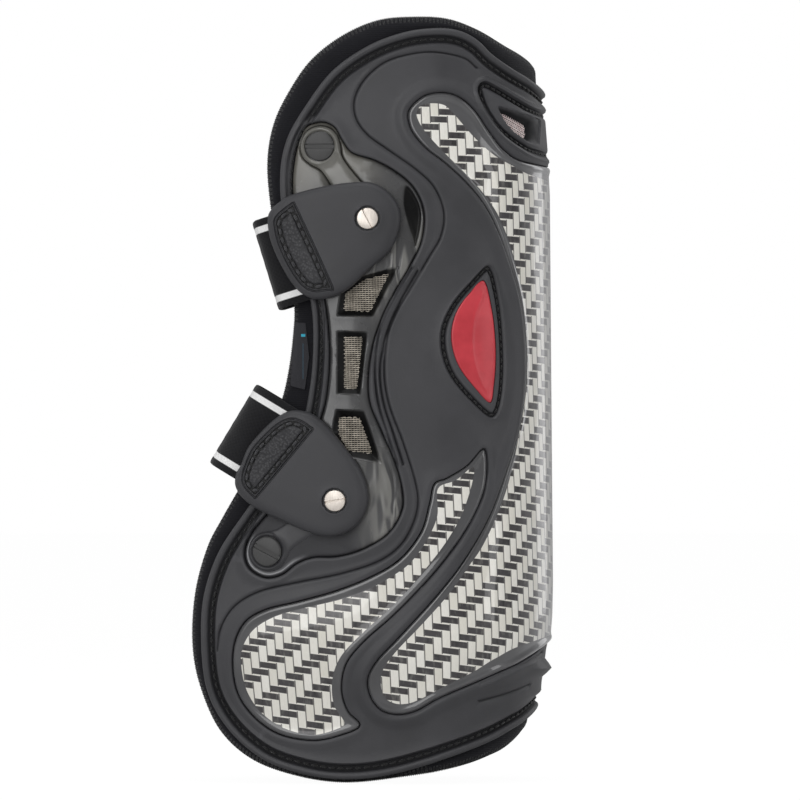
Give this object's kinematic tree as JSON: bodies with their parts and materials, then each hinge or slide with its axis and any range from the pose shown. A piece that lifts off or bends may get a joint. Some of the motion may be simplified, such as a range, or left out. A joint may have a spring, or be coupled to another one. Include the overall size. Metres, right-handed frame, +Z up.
{
  "type": "tendon boot",
  "caption": "Open-front protective leg boot: moulded shell with woven strike guards on a soft lining, closed by elastic straps with press-stud tabs.",
  "frame": {"origin": "on the axis of the cylindrical cannon seat in the lining, half way up the seat", "axes": "+Z up the leg, +X to the back of the leg (tendon side), -X the open front, -Y the outer (lateral) side that carries the tabs"},
  "size_m": [0.1187, 0.0851, 0.2501],
  "materials": {
    "lining": "soft knit face over closed-cell neoprene",
    "binding": "fine overlocked edge",
    "pad_foam": "dense closed-cell foam",
    "shell_tpu": "fine satin moulded grain",
    "thread": "twisted polyester thread",
    "guard_weave": "clear-coated silver and graphite twill weave",
    "panel_gloss": "smooth high gloss",
    "mesh": "coarse silver-grey woven mesh",
    "badge_red": "satin",
    "label": "woven label",
    "arm_plastic": "semi-gloss moulded",
    "pin_plastic": "satin moulded",
    "elastic": "ribbed elastic webbing with two pale edge stripes",
    "tab_rubber": "satin moulded rubber",
    "patch_rubber": "fine pebbled",
    "screw_steel": "satin nickel",
    "stud_steel": "satin"
  },
  "bodies": {
    "boot": {"neoprene_lining": "lining", "lining_edge_binding": "binding", "tendon_impact_pad": "pad_foam", "outer_shell": "shell_tpu", "shell_edge_stitching": "thread", "rear_strike_guard": "guard_weave", "lateral_leaf_guard": "guard_weave", "medial_leaf_guard": "guard_weave", "lateral_closure_panel": "panel_gloss", "medial_closure_panel": "panel_gloss", "lateral_window_mesh": "mesh", "medial_window_mesh": "mesh", "rear_vent_mesh": "mesh", "badges": "badge_red", "size_label": "label", "upper_socket_arm": "arm_plastic", "lower_socket_arm": "arm_plastic", "socket_arm_pins": "pin_plastic", "upper_strap_anchor": "elastic", "lower_strap_anchor": "elastic", "anchor_patches": "tab_rubber", "anchor_rivets": "screw_steel"},
    "upper_strap": {"upper_elastic_strap": "elastic"},
    "lower_strap": {"lower_elastic_strap": "elastic"},
    "upper_tab": {"upper_tab": "tab_rubber", "upper_tab_patch": "patch_rubber", "upper_tab_stitching": "thread", "upper_stud": "stud_steel", "upper_stud_screw": "screw_steel"},
    "lower_tab": {"lower_tab": "tab_rubber", "lower_tab_patch": "patch_rubber", "lower_tab_stitching": "thread", "lower_stud": "stud_steel", "lower_stud_screw": "screw_steel"}
  },
  "joints": [
    {"name": "upper_strap_swing", "type": "hinge", "parent": "boot", "child": "upper_strap", "pos_m": [-0.046, 0.03459, 0.04654], "axis": [0, 0, -1], "range_deg": [0, 95]},
    {"name": "upper_tab_peel", "type": "hinge", "parent": "upper_strap", "child": "upper_tab", "pos_m": [-0.05087, -0.0332, 0.04505], "axis": [0.2917, -0.0689, -0.954], "range_deg": [0, 70]},
    {"name": "lower_strap_swing", "type": "hinge", "parent": "boot", "child": "lower_strap", "pos_m": [-0.052, 0.03315, -0.01565], "axis": [0, 0, -1], "range_deg": [0, 95]},
    {"name": "lower_tab_peel", "type": "hinge", "parent": "lower_strap", "child": "lower_tab", "pos_m": [-0.05829, -0.03153, -0.01188], "axis": [-0.5097, 0.1429, -0.8484], "range_deg": [0, 70]}
  ]
}
